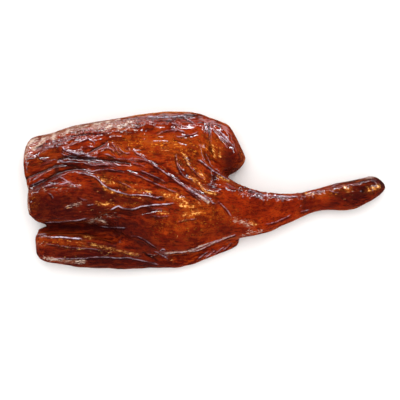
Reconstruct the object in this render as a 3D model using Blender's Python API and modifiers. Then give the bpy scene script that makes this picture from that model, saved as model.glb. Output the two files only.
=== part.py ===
"""Roast goose leg: thigh, drumstick and shank in one piece, with the skin's folds as relief.

The leg lies on its cut side, skin up. X runs from the cut end to the hock, Y from the belly edge
to the back edge, Z up, and the origin is under the middle of the leg. The forms are drawn in
millimetres, with x = 0 at the cut end and y = 0 at the belly edge, and the finished skin is then
fitted to LEG_LENGTH and LEG_HEIGHT.
"""

import math

import bmesh
import bpy
import numpy as np
from mathutils import Matrix, Vector, noise

LEG_LENGTH = 0.300
LEG_HEIGHT = 0.045

RING_POINTS = 56
STATION_STEP = 2.5
VOXEL = 1.6
BLEND_PASSES = 6
TRIANGLES = 11400
SETTLED = 1.3

# The forms that the skin wraps, as cross-sections: x, belly side, back side, underside, top.
THIGH = [
    (0, 38, 109.5, 0, 40),
    (25, 36, 115.5, 0, 45),
    (42, 36, 120, 0, 47.5),
    (65, 36, 124.5, 0, 49),
    (100, 30, 130, 0, 50),
    (136, 26, 131.5, 0, 48),
    (152, 30, 128, 0, 43),
    (166, 40, 116, 0, 36),
]
LOWER_LOBE = [
    (0, 38, 78, 2, 42),
    (22, 37, 80, 2, 48),
    (48, 38, 80, 2, 50),
    (72, 44, 76, 2, 49),
    (92, 50, 70, 2, 45),
]
LEG = [
    (72, 20, 56, 0, 34),
    (95, 13, 64, 0, 45),
    (118, 12, 70, 0, 51),
    (138, 13, 74, 0, 52),
    (152, 18, 77, 0, 50),
    (166, 23, 77, 0, 46),
    (178, 25.6, 71.5, 0, 42),
    (190, 27.6, 66.5, 1, 37),
    (203, 31.2, 63.8, 2.5, 32.5),
    (216, 36.8, 63.6, 3.5, 28),
    (229, 42.6, 64, 4.2, 24.5),
    (242, 48, 66.8, 4.2, 22.5),
    (254, 49.8, 70, 2.5, 24),
    (264, 49.6, 72.8, 1, 26),
    (275, 50.4, 74.8, 0, 27.5),
    (284, 54.4, 76.8, 0, 27),
    (291, 58, 78.2, 1.5, 25.5),
    (297, 62.4, 75.5, 4, 21),
    (302, 67.4, 71, 8, 15),
]
BELLY_ROLL = [
    (8.4, 10.6, 31, 1, 28),
    (14, 6.6, 32.5, 0, 32),
    (25, 4, 33, 0, 34),
    (40, 2.2, 33, 0, 34),
    (60, 0.7, 31, 0, 32),
    (80, 0, 25.5, 0, 29),
    (100, 0, 18.5, 0, 25),
    (120, 1, 15, 0, 21),
]
BELLY_HOLLOW = [
    (9, 26, 46, 0, 20),
    (40, 26, 46, 0, 22),
    (75, 20, 48, 0, 26),
    (110, 12, 44, 0, 30),
]
SKIN_APRON = [
    (98, 0.3, 22, 0, 19),
    (112, 0.4, 22, 0, 20),
    (128, 1.4, 26, 0, 20),
    (140, 4, 28, 0, 19),
    (154, 9.4, 32, 0, 18),
    (168, 15, 36, 0, 16),
    (179, 19.6, 40, 0, 14),
]
TAIL_LUMP = [
    (136, 88, 129, 0, 36),
    (150, 83, 127.5, 0, 41),
    (162, 80, 123.6, 0, 43),
    (171, 79.5, 119, 0, 41),
    (176, 82, 110, 0, 37),
    (180, 85.5, 101.5, 1.5, 31),
    (184, 89, 96, 5, 25),
]

# How far the chopped end stands back from x = 0, at each y along it.
CHOP_LINE = [
    (36, 11), (40, 8.8), (46, 4.6), (54, 3.8), (66, 4.0), (75, 1.2), (88, 0), (100, 0.3), (108, 1.5),
]
CHOP_REACH = 34.0

# Folds of the skin: height of the ridge, depth of the crease on its belly side, width, path.
FOLDS = [
    (1.5, 0.9, 3.2, [(44, 79), (59, 77), (66, 71), (75, 65.6), (88, 61.8), (103, 61.4), (117, 61)]),
    (1.6, 1.8, 3.0, [(58, 47), (76, 51.5), (88, 50.6), (103, 54), (126, 55.5)]),
    (1.2, 0.6, 2.6, [(88, 99.5), (101, 91), (114, 81.8), (128, 71.4), (141, 63), (152, 56.5)]),
    (0.8, 0.6, 2.6, [(84, 81), (103, 74), (121, 66.5), (129, 63)]),
    (0.8, 0.6, 2.6, [(124, 97), (127, 88), (133, 76.5), (142, 70), (152, 64.5), (163, 63)]),
    (0.8, 0.6, 2.6, [(131, 95), (137, 84), (143, 79), (148, 74)]),
    (0.9, 0.8, 2.8, [(26, 101), (40, 96.5), (52, 94), (60, 92)]),
    (1.1, 1.2, 3.0, [(5, 28), (25, 27.5), (47, 26.5), (60, 22.5), (78, 17), (95, 12.5), (110, 8)]),
    (0.7, 0.7, 3.0, [(18, 10), (40, 10.2), (62, 10.8), (82, 10.8), (97, 7.5), (112, 3.5)]),
]

# Creases pressed into the skin: depth, width, path.
CREASES = [
    (4.5, 4.2, [
        (-6, 35.5), (20, 35.2), (45, 34.2), (62, 31.5), (76, 27.5), (90, 21.5), (106, 15), (118, 10),
    ]),
    (1.7, 2.4, [(-4, 66), (7, 68.5), (17, 73), (27, 78.4), (37, 82), (47, 83.4), (57, 81.5)]),
    (1.2, 2.2, [(-4, 72), (2, 74.5), (12, 79), (20.5, 83.4), (29, 86.5)]),
    (1.4, 2.4, [(24, 88), (37, 92), (48.6, 91.7), (62, 90), (83, 88.4), (94, 86)]),
    (1.2, 2.4, [(50, 94), (55, 96.7), (62, 100.8), (71, 105.5)]),
    (1.3, 2.6, [(3, 96), (9, 99.2), (19, 103.8), (29, 107.5), (45, 110), (62, 111)]),
    (3.0, 3.0, [(152, 126), (150.6, 116), (150.6, 107), (152, 97), (156, 88), (163, 81)]),
    (1.6, 2.8, [(92, 124.5), (110, 125.5), (130, 125.5), (149, 123)]),
    (1.6, 2.6, [(159, 119), (165, 109), (172, 100)]),
    (1.6, 2.6, [(118, 13.5), (137, 14.5), (153, 20), (167, 25.5), (178, 29)]),
    (1.2, 2.2, [(231, 74), (231.5, 60), (230, 52)]),
    (1.4, 3.0, [(268, 66), (280, 68.5), (292, 70.5), (304, 72)]),
]


def along(rows, column, x):
    """One column of a form's rows, smoothed between its stations."""
    stations = np.array([row[0] for row in rows], float)
    values = np.array([row[column] for row in rows], float)
    slopes = np.gradient(values, stations)
    index = int(np.clip(np.searchsorted(stations, x) - 1, 0, len(stations) - 2))
    span = stations[index + 1] - stations[index]
    t = min(max((x - stations[index]) / span, 0.0), 1.0)
    leaving = (1 + 2 * t) * (1 - t) ** 2 * values[index] + t * (1 - t) ** 2 * span * slopes[index]
    reaching = t * t * (3 - 2 * t) * values[index + 1] + t * t * (t - 1) * span * slopes[index + 1]
    return leaving + reaching


def smoothstep(low, high, value):
    t = np.clip((value - low) / (high - low), 0, 1)
    return t * t * (3 - 2 * t)


def ring(near, far, low, high, seat, lean, shape):
    """One cross-section as (y, z) points: an oval, squarer below, whose top can lean back."""
    angles = np.linspace(0, 2 * math.pi, RING_POINTS, endpoint=False)
    across = np.sign(np.cos(angles)) * np.abs(np.cos(angles)) ** (2 / shape)
    up = np.abs(np.sin(angles)) ** (2 / shape)
    down = np.abs(np.sin(angles)) ** 0.6
    waist = low + seat * (high - low)
    above = np.sin(angles) > 0
    z = np.where(above, waist + (high - waist) * up, waist - (waist - low) * down)
    leaning = np.where(above, lean * up**2 * (1 - np.abs(across)), 0)
    y = (near + far) / 2 + (far - near) / 2 * (across + leaning)
    return y, z


def loft(name, rows, start_round, end_round, seat=0.4, lean=0.0, shape=2.2):
    """A closed skin over a form's cross-sections, with both ends rounded over."""
    first, last = rows[0][0], rows[-1][0]
    turns = np.linspace(0, math.pi / 2, 6)
    stations = [(first + start_round * (1 - math.cos(a)), start_round * (1 - math.sin(a))) for a in turns]
    middle = np.arange(first + start_round, last - end_round, STATION_STEP)[1:]
    stations += [(x, 0.0) for x in middle]
    for a in turns[::-1]:
        stations.append((last - end_round * (1 - math.cos(a)), end_round * (1 - math.sin(a))))
    bm = bmesh.new()
    rings = []
    for x, inset in stations:
        near, far, low, high = (along(rows, column, x) for column in (1, 2, 3, 4))
        y, z = ring(near + inset, far - inset, low + inset, high - inset, seat, lean, shape)
        rings.append([bm.verts.new((x, b, c)) for b, c in zip(y, z)])
    for one, two in zip(rings, rings[1:]):
        for k in range(RING_POINTS):
            bm.faces.new((one[k - 1], one[k], two[k], two[k - 1]))
    bm.faces.new(rings[0])
    bm.faces.new(rings[-1])
    bmesh.ops.recalc_face_normals(bm, faces=bm.faces)
    mesh = bpy.data.meshes.new(name)
    bm.to_mesh(mesh)
    bm.free()
    return mesh


def grow_together(name, meshes):
    """The forms under one skin, with the lines where they meet softened."""
    bm = bmesh.new()
    for mesh in meshes:
        bm.from_mesh(mesh)
        bpy.data.meshes.remove(mesh)
    joined = bpy.data.meshes.new(name)
    bm.to_mesh(joined)
    bm.free()
    obj = bpy.data.objects.new(name, joined)
    bpy.context.scene.collection.objects.link(obj)
    skin = obj.modifiers.new("one_skin", "REMESH")
    skin.mode = "VOXEL"
    skin.voxel_size = VOXEL
    soften = obj.modifiers.new("soften", "SMOOTH")
    soften.factor = 0.5
    soften.iterations = BLEND_PASSES
    graph = bpy.context.evaluated_depsgraph_get()
    grown = bpy.data.meshes.new_from_object(obj.evaluated_get(graph))
    bpy.data.objects.remove(obj)
    bpy.data.meshes.remove(joined)
    return grown


def smooth_path(path, step=1.5):
    """A curve through the path's points, as closely spaced points."""
    knots = [Vector(p) for p in path]
    knots = [2 * knots[0] - knots[1]] + knots + [2 * knots[-1] - knots[-2]]
    found = []
    for a, b, c, d in zip(knots, knots[1:], knots[2:], knots[3:]):
        for t in np.arange(0, 1, step / max((c - b).length, step)):
            bend = (2 * a - 5 * b + 4 * c - d) * t * t + (3 * b - a - 3 * c + d) * t**3
            found.append(0.5 * (2 * b + (c - a) * t + bend))
    found.append(knots[-2])
    return np.array(found)


def beside(points, path):
    """Each point's distance to a path, positive on its left, and its share of the way along."""
    line = smooth_path(path)
    gaps = points[:, None, :2] - line[None]
    nearest = np.argmin((gaps**2).sum(axis=2), axis=1)
    heading = np.gradient(line, axis=0)[nearest]
    gap = gaps[np.arange(len(points)), nearest]
    side = np.sign(heading[:, 0] * gap[:, 1] - heading[:, 1] * gap[:, 0])
    return side * np.hypot(gap[:, 0], gap[:, 1]), nearest / (len(line) - 1)


def relief(points):
    """How far each point of the skin stands out, in drawn millimetres."""
    height = np.zeros(len(points))
    for ridge, crease, width, path in FOLDS:
        distance, share = beside(points, path)
        fade = smoothstep(0, 0.14, share) * smoothstep(0, 0.14, 1 - share)
        height += fade * ridge * np.exp(-((distance / width) ** 2))
        height -= fade * crease * np.exp(-(((distance + 1.5 * width) / (0.9 * width)) ** 2))
    for depth, width, path in CREASES:
        distance, share = beside(points, path)
        fade = smoothstep(0, 0.12, share) * smoothstep(0, 0.12, 1 - share)
        height -= fade * depth * np.exp(-((distance / width) ** 2))
    return height


def unevenness(points):
    """The slow swell of meat under the skin, in drawn millimetres."""
    return np.array([noise.noise(Vector(p) / 24.0) + 0.5 * noise.noise(Vector(p) / 11.0) for p in points])


def shape_skin(mesh):
    """Presses the folds into the skin, chops the end and seats the underside."""
    count = len(mesh.vertices)
    points = np.empty(count * 3, np.float32)
    normals = np.empty(count * 3, np.float32)
    mesh.vertices.foreach_get("co", points)
    mesh.vertices.foreach_get("normal", normals)
    points = points.reshape(-1, 3).astype(float)
    normals = normals.reshape(-1, 3).astype(float)
    facing_up = smoothstep(-0.25, 0.3, normals[:, 2])
    out = facing_up * relief(points) + 0.8 * unevenness(points)
    points += normals * out[:, None]
    stand_back = np.interp(points[:, 1], *np.array(CHOP_LINE, float).T)
    on_thigh = smoothstep(33, 36, points[:, 1])
    points[:, 0] += on_thigh * stand_back * np.clip(1 - points[:, 0] / CHOP_REACH, 0, 1)
    points[:, 2] = np.maximum(points[:, 2] - SETTLED, 0)
    mesh.vertices.foreach_set("co", points.astype(np.float32).ravel())
    mesh.update()


def facet(mesh):
    """The skin in fewer, larger facets, kept small where it bends."""
    obj = bpy.data.objects.new("facets", mesh)
    bpy.context.scene.collection.objects.link(obj)
    thin = obj.modifiers.new("thin", "DECIMATE")
    thin.ratio = min(1.0, TRIANGLES / sum(len(face.vertices) - 2 for face in mesh.polygons))
    graph = bpy.context.evaluated_depsgraph_get()
    faceted = bpy.data.meshes.new_from_object(obj.evaluated_get(graph))
    bpy.data.objects.remove(obj)
    bpy.data.meshes.remove(mesh)
    return faceted


def fit_to_size(mesh):
    """Stands the drawn leg on z = 0, centred on the origin, at its real length and height."""
    corners = np.array([vertex.co for vertex in mesh.vertices])
    low, high = corners.min(axis=0), corners.max(axis=0)
    across = LEG_LENGTH / (high[0] - low[0])
    upward = LEG_HEIGHT / (high[2] - low[2])
    middle = Vector(((low[0] + high[0]) / 2, (low[1] + high[1]) / 2, low[2]))
    mesh.transform(Matrix.Diagonal((across, across, upward, 1)) @ Matrix.Translation(-middle))


def skin_material():
    """Lacquered, deep red-brown roast skin."""
    material = bpy.data.materials.new("roast_skin")
    material.use_nodes = True
    shader = material.node_tree.nodes["Principled BSDF"]
    shader.inputs["Base Color"].default_value = (0.26, 0.045, 0.012, 1)
    shader.inputs["Roughness"].default_value = 0.28
    shader.inputs["Metallic"].default_value = 0.0
    return material


def main():
    for obj in list(bpy.data.objects):
        bpy.data.objects.remove(obj)
    forms = [
        loft("thigh", THIGH, 5, 14, seat=0.3, lean=-0.3, shape=2.35),
        loft("lower_lobe", LOWER_LOBE, 5, 12, seat=0.5, shape=2.6),
        loft("leg", LEG, 10, 3, seat=0.42, lean=0.28, shape=2.6),
        loft("belly_roll", BELLY_ROLL, 4, 8, lean=0.5),
        loft("belly_hollow", BELLY_HOLLOW, 5, 8, seat=0.6, shape=3),
        loft("skin_apron", SKIN_APRON, 5, 3, seat=0.45),
        loft("tail_lump", TAIL_LUMP, 8, 4),
    ]
    mesh = grow_together("goose_leg", forms)
    shape_skin(mesh)
    mesh = facet(mesh)
    fit_to_size(mesh)
    mesh.materials.append(skin_material())
    mesh.shade_smooth()
    parts = bpy.data.collections.new("roast_goose_leg")
    bpy.context.scene.collection.children.link(parts)
    parts.objects.link(bpy.data.objects.new("goose_leg", mesh))


main()
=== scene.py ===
"""A roast goose leg, skin side up on a pale floor, seen from straight above.

The frame gives the leg's form. This script grows a finer skin over it, presses the small folds and
wrinkles into that skin, and gives it the lacquered finish of a roast. The folds are drawn in the
picture's pixels, which place() turns into metres. Their crests and creases are finer than the mesh,
so the material draws them too, from the distance to the nearest fold that the mesh keeps: as bumps,
with a painted highlight along each crest and painted shade in the groove beside it. Painted shade
also darkens the creases, the valley and the lower sides, painted light lifts the steep sides, and
painted warm glints and highlights lie on ridges and edges.
"""

import math
from types import SimpleNamespace

import bpy
import numpy as np
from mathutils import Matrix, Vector, noise


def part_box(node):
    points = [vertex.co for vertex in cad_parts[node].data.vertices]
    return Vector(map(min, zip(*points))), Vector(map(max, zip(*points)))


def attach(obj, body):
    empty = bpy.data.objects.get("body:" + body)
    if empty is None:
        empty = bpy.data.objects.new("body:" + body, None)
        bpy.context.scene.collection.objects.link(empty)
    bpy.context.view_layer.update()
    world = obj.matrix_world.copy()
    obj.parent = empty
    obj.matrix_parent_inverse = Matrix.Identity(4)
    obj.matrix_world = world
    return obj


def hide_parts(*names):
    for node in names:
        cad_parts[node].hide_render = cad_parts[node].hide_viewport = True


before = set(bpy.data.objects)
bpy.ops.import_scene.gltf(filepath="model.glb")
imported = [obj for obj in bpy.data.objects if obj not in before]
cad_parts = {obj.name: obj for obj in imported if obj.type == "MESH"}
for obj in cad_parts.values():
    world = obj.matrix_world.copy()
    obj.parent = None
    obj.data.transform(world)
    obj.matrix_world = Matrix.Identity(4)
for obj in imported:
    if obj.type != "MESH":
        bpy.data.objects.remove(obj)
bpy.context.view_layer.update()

# How the picture lies over the leg: it is 400 pixels square, and the leg is 361 of them long.
PICTURE = 400
LEG_PIXELS = 361.0
LEG_MIDDLE = (206.0, 190.5)
leg_low, leg_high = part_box("goose_leg")
PIXEL = (leg_high.x - leg_low.x) / LEG_PIXELS
MM = 0.001

# The camera's lens and sensor (mm), and how high up the leg its widest outline lies, as a share of
# the leg's height. The picture's scale holds there.
LENS, SENSOR = 100, 36
OUTLINE_LEVEL = 0.35

# The skin's mesh.
VOXEL = 0.46 * MM
FACET_PASSES = 15
SKIN_TRIANGLES = 186000

# How far from its end a drawn stroke reaches its full height.
STROKE_END = 4.5 * MM

# A stroke wider than this (mm) is a swell of the meat. A narrower one is a fold of the skin, and the
# mesh has this share of its drawn height, as the material's bump gives the rest.
SWELL_WIDTH = 2
FOLD_SHARE = 0.45

# A fold's height comes and goes by this share and its line sways by this much, each as a noise with
# its size (mm) and seed.
RAGGED, RAGGED_NOISE = 0.7, (2.2, 9)
SWAY, SWAY_NOISE = 0.5 * MM, (3.4, 8)

# Where a ridge's crease lies beside it and how wide it is, in widths of the ridge.
CREASE_GAP, CREASE_WIDTH = 1.6, 0.9

# How far a fold, a crease and a painted stroke spread, in their own widths or radii.
FOLD_SPREAD, CREASE_SPREAD, PAINT_SPREAD = 4, 3, 2.5

# How far from a fold its distance is kept, and where its lines begin to fade and end (pixels).
FOLD_REACH = 6.0
FOLD_FADE, FOLD_GONE = 2.2, 3.2

# How a fold's drawn paleness becomes the highlight painted on its crest.
SHEEN_SHARE, SHEEN_POWER = 0.88, 1.8

# Wrinkles along the skin's stretch: height (mm), length and width (pixels), seed.
WRINKLES = [(0.13, 30, 6, 3), (0.07, 12, 2.6, 4)]

# The skin's own unevenness: height and size (mm), seed.
UNEVENNESS = [(0.25, 8, 1), (0.10, 3, 2)]

# How far each seed moves a noise.
SEED_STEP = (7.3, 3.1, 5.7)

# Folds as drawn strokes: height of the ridge, depth of the crease on its belly side and width
# (all mm), how bright a highlight is painted on its crest, and the path (pixels).
FOLDS = [
    # upper left, fanning in from the cut end
    (0.53, 0.3, 1, 0.3, [(50, 143), (60, 141.5), (70, 140), (85, 139.5), (96, 140)]),
    (0.62, 0.4, 1.2, 0.5, [(80, 143.5), (85, 141.5), (90, 140), (94, 141.5), (97, 144), (95, 147)]),
    (0.82, 0.55, 1.1, 0.85, [(66.5, 146), (66.5, 149.5), (70, 152), (76, 153.5), (82, 155), (86, 155),
        (90, 156.5), (95, 158), (99, 157.5), (100.5, 155.5)]),
    (0.66, 0.2, 0.9, 0.7, [(59, 162.5), (64, 161.5), (68, 163), (74, 162.2), (80, 162.8)]),
    (0.53, 0.3, 0.9, 0.5, [(44, 150), (49, 148.5), (55, 148), (60, 147.5), (65, 147)]),
    (0.35, 0.2, 1.2, 0.2, [(40, 167.5), (48, 164.5), (57, 161.5)]),
    (0.44, 0.3, 0.9, 0.5, [(31, 187), (38, 184), (44, 181), (50, 179)]),
    (0.53, 0.3, 0.9, 0.5, [(55, 181.5), (60, 179.5), (64, 177), (67, 175)]),
    # the strong wavy fold across the middle of the thigh, and those above it
    (1.12, 0.5, 1.25, 0.8, [(79, 174), (84, 173.8), (90, 174.8), (96, 176.5), (101, 179.5), (105, 184),
        (110, 187.5), (116, 190.5), (124, 193), (132, 195), (140, 195), (150, 195.7), (158, 197.5),
        (166, 196)]),
    (0.69, 0.5, 1, 0.5, [(83, 169), (90, 171), (96, 172), (102, 170.5), (110, 170), (120, 171.5),
        (129, 173.5)]),
    (0.62, 0.45, 0.9, 0.45, [(85, 162), (89, 164.5), (96, 166), (105, 165.5), (115, 166), (121, 168)]),
    (0.44, 0.4, 0.8, 0.4, [(84, 159.5), (90, 160), (100, 161.5), (110, 163.5), (120, 165)]),
    (0.53, 0.4, 0.9, 0.5, [(99, 151.5), (105, 149.5), (110, 149), (114.5, 150.8), (118, 154.5)]),
    (0.53, 0.4, 0.9, 0.5, [(104, 155), (110, 155.5), (114, 157.5), (118, 159.5), (126, 160),
        (134, 160.8), (141, 164)]),
    (0.4, 0.3, 0.7, 0.45, [(112, 143), (117, 148), (120, 153), (126, 157)]),
    (0.4, 0.3, 0.7, 0.5, [(119, 145), (122, 150), (127, 154), (134, 154)]),
    (0.4, 0.2, 0.7, 0.45, [(127, 146.5), (131, 150), (132, 154)]),
    (0.4, 0.2, 0.7, 0.5, [(87, 146.5), (93, 148), (98, 148.5)]),
    (0.4, 0.3, 0.7, 0.5, [(62, 153), (68, 156), (74, 157.5), (82, 158)]),
    (0.3, 0.2, 0.8, 0.45, [(45, 152), (41, 156), (45, 160), (54, 161), (62, 159.5)]),
    (0.2, 0.1, 0.8, 0.6, [(60, 176), (68, 180), (76, 185), (84, 188.5)]),
    (0.2, 0.1, 0.8, 0.6, [(46, 188), (56, 184.5), (66, 184), (76, 181)]),
    (0.3, 0.2, 0.8, 0.4, [(50, 192), (56, 195.5), (58, 200)]),
    (0.3, 0.2, 0.8, 0.4, [(118, 181), (126, 184), (136, 189)]),
    # the long tendon line to the knee, and the folds beside it
    (0.95, 0.4, 1.1, 0.62, [(133, 150), (140, 155), (147, 160), (155, 166), (163, 171), (172, 177.5),
        (180, 183.5), (188, 188.5), (195, 193.5), (203, 198), (210, 201.5), (217, 204.5)]),
    (0.59, 0.3, 0.8, 0.3, [(184, 188), (190, 192), (197, 197.5), (203, 202)]),
    (0.62, 0.4, 0.9, 0.4, [(128, 160), (134, 159.5), (140, 159.8), (148, 161.8), (154, 165)]),
    (0.44, 0.3, 0.8, 0.4, [(131, 162.5), (140, 165.5), (148, 167.5)]),
    (0.69, 0.5, 1, 0.4, [(128, 172), (134, 174), (140, 176), (150, 180.5), (158, 184.5), (165, 187.5),
        (172, 190.5), (179, 193)]),
    (0.74, 0.5, 1, 0.45, [(175, 153), (177, 158), (178, 164), (180, 170), (184, 176), (189, 179),
        (195, 183)]),
    (0.74, 0.5, 1, 0.1, [(189, 177.5), (195, 181), (199, 185), (203, 189), (208, 192), (214, 194),
        (221, 193.5)]),
    (0.62, 0.4, 0.9, 0.35, [(183, 155), (187, 161), (190, 167), (195, 172.5), (200, 177),
        (204, 180.5)]),
    (0.82, 0.55, 1.1, 0.65, [(196, 160), (202, 162.5), (207, 166.5), (212, 170.5), (217, 173.5),
        (224, 177.5), (231, 181.5)]),
    (1.2, 0.3, 1.9, 0.8, [(186, 186.5), (194, 192), (202, 197), (211, 202)]),
    (0.4, 0.3, 0.7, 0.45, [(140, 170), (150, 174.5), (160, 179), (168, 184)]),
    (0.3, 0.2, 0.7, 0.35, [(150, 214), (160, 216), (172, 215)]),
    (0.3, 0.2, 0.7, 0.35, [(176, 222), (186, 219), (198, 218)]),
    # the lump at the back corner
    (0.59, 0.4, 0.8, 0.8, [(206, 122), (206.3, 129), (207, 136)]),
    (0.59, 0.4, 0.8, 0.8, [(210.5, 123), (210, 130), (210.8, 137)]),
    (0.53, 0.3, 0.8, 0.6, [(213.8, 123), (213, 131)]),
    (0.66, 0.45, 0.9, 0.8, [(216, 129), (221, 134), (226, 139), (230, 144), (234.5, 149)]),
    (0.59, 0.4, 0.8, 0.7, [(219, 136), (223, 139.5), (227, 143), (230.5, 148.5)]),
    (0.66, 0.2, 0.9, 0.6, [(223, 146.5), (228, 149.5)]),
    (0.59, 0.3, 0.8, 0.05, [(212, 144), (213, 152), (214.5, 158)]),
    (0.53, 0.3, 0.8, 0.05, [(218.5, 147), (219.5, 153), (219.5, 159)]),
    # along the back edge
    (1.5, 0, 6.0, 0, [(44, 147), (70, 138), (95, 132), (120, 128), (150, 125.5), (182, 124)]),
    (0.66, 0.45, 0.9, 0.9, [(146, 118.5), (152, 117.6), (160, 118), (172, 118), (182, 116.5),
        (190, 119)]),
    (0.59, 0.3, 0.8, 0.7, [(165, 121.5), (170, 120.5), (175, 123)]),
    (0.59, 0.3, 0.8, 0.7, [(170, 123.5), (176, 125.5), (183, 127)]),
    (0.53, 0.3, 0.8, 0.7, [(184, 118), (190, 121.5), (196, 126)]),
    (0.35, 0.2, 0.9, 0.5, [(156, 137), (164, 133), (172, 131.5), (178, 131.5)]),
    (0.53, 0.3, 0.8, 0.6, [(173, 135.5), (177, 131.5), (182, 132), (187, 134)]),
    (0.44, 0.3, 0.8, 0.55, [(175, 136.5), (180, 138), (188, 136.5), (195, 134.5), (199, 131)]),
    (0.44, 0.3, 0.8, 0.3, [(72, 127.5), (84, 124.5), (96, 122), (108, 120.5)]),
    (0.44, 0.3, 0.8, 0.3, [(70, 132), (84, 130), (98, 131), (112, 130.5)]),
    (0.62, 0.4, 0.9, 0.3, [(60, 138.5), (75, 136.5), (92, 134), (104, 134.5), (112, 131.5)]),
    # the lower lobe and the lip over the valley
    (0.44, 0.3, 1.1, 0.15, [(38, 189.5), (48, 187.3), (60, 186.2), (75, 186), (88, 187.5)]),
    (0.44, 0.3, 1.1, 0.3, [(80, 195), (85, 199), (92, 200)]),
    (0.35, 0.3, 1.4, 0.2, [(66, 209.5), (72, 206), (80, 203.5), (88, 202)]),
    (0.44, 0.2, 0.8, 0.6, [(88, 205), (93, 204.6), (98, 204)]),
    (0.59, 0.3, 0.8, 0.6, [(41, 223), (53, 222), (64, 221.3), (73, 220.3), (80, 220), (86, 218.5),
        (92, 217.3)]),
    (0.59, 0.3, 0.8, 0.4, [(99, 226), (109, 227.2), (119, 227.2), (130, 227.2)]),
    (0.53, 0.3, 0.8, 0.3, [(89, 221.5), (92, 219.5), (97, 219)]),
    (0.53, 0.3, 0.8, 0.3, [(92, 224), (96, 223.5), (100, 225)]),
    (0.44, 0.3, 0.8, 0.3, [(106, 218), (112, 214.5)]),
    (0.88, 0.6, 1.2, 0.8, [(111, 210.5), (116, 208), (120.5, 206.1), (125, 208), (131.5, 208.7),
        (137, 208.3), (143, 206.1), (150, 205.3), (158, 204.5), (168, 203.8), (176, 202.7)]),
    (0.44, 0.3, 0.8, 0.3, [(150, 209.5), (158, 208.8), (166, 208.5)]),
    # the belly roll
    (0.66, 0.3, 0.9, 0.7, [(35, 234.8), (42, 234), (50.5, 233.3)]),
    (0.74, 0.3, 1, 0.95, [(50, 238.3), (54, 236.7), (61.7, 236.4), (69.4, 237.2), (78, 237.8),
        (82.2, 238.1), (85.6, 240.9)]),
    (0.5, 0.2, 0.8, 0.7, [(50.6, 233.3), (51.7, 235.6), (49.7, 238.7)]),
    (0.7, 0.5, 1, 0.15, [(85.6, 240.9), (92, 242.8), (100.6, 245), (112, 247.8), (125, 251.1),
        (137, 254), (143, 254.5)]),
    (0.44, 0.3, 0.9, 0.3, [(45, 242.8), (58, 244.4), (75, 247), (94, 248.3), (106, 250.6)]),
    (0.74, 0.5, 1, 0.5, [(52, 258), (69.4, 257.8), (85, 257.8), (92, 256.7), (105, 256.4),
        (119.4, 257.6), (127, 257.2), (136, 258.9), (148.3, 261.7), (160, 265)]),
    (0.35, 0.2, 0.9, 0.3, [(130, 235), (138, 235.5), (145, 238), (152, 243), (158, 247)]),
    (0.53, 0.3, 0.8, 0.4, [(145, 252), (150, 254), (156, 254.5), (160, 251)]),
    (0.59, 0.4, 0.8, 0.4, [(158, 250), (163, 252), (167, 256), (165, 260)]),
    (0.59, 0.3, 0.8, 0.4, [(160, 257), (164, 252), (168, 250)]),
    (0.4, 0.2, 0.7, 0.6, [(156, 254), (161, 250), (164, 248), (168, 251)]),
    (0.4, 0.2, 0.7, 0.6, [(153, 249.5), (159, 253), (166, 257.5), (170, 258)]),
    (0.4, 0.2, 0.7, 0.5, [(162, 259), (165, 255), (169, 252.5)]),
    # the apron of skin under the drumstick
    (1.5, 0, 1.4, 0.6, [(163, 252.5), (170, 252.3), (178, 251.5), (186, 251), (196, 247.5), (204, 244),
        (214, 241), (222, 238.5), (231, 235.5), (237, 233.5)]),
    (1.1, 0, 1.2, 0.6, [(188, 251), (199, 249.5), (206, 246), (213, 242.5), (222, 240)]),
    (0.44, 0.3, 0.8, 0.55, [(196, 261), (203, 255), (210, 250.5)]),
    (0.44, 0.3, 0.8, 0.55, [(203, 259.5), (211, 253.5), (218, 248.5)]),
    (0.44, 0.3, 0.8, 0.55, [(212, 256.5), (220, 250), (227, 245)]),
    (0.44, 0.3, 0.8, 0.55, [(222, 252.5), (228, 246.5), (233, 241.5)]),
    # the drumstick, shank and hock
    (0.35, 0.2, 0.8, 0.45, [(216, 200), (223, 206), (228, 212), (231, 217)]),
    (0.4, 0.2, 0.8, 0.5, [(263, 224), (272, 222.5), (284, 218), (291, 214)]),
    (0.4, 0.2, 0.8, 0.5, [(298, 211.5), (304, 211), (311, 209)]),
    (1.5, 0, 4.6, 0, [(234, 188), (246, 192.5), (262, 196.5), (280, 198.5), (300, 198), (318, 195),
        (334, 192)]),
    (0.6, 0.3, 0.9, 0.75, [(244, 191.5), (250, 190.5), (257, 193), (264, 195), (276, 196), (290, 196.5),
        (298, 195)]),
    (0.4, 0.2, 0.8, 0.45, [(246, 194.5), (256, 196), (266, 197)]),
    (0.5, 0.2, 0.9, 0.65, [(304, 194.5), (311, 192.5), (318, 191), (326, 189.5)]),
    (0.6, 0.4, 0.9, 0.6, [(327, 190), (333, 192), (340, 193)]),
    (0.6, 0.4, 0.9, 0.7, [(329, 188), (335, 184.5), (342, 182.5)]),
    (0.8, 0.3, 1.1, 0.85, [(342, 182), (350, 180), (358, 178.5), (367, 177.5), (375, 177)]),
]

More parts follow.
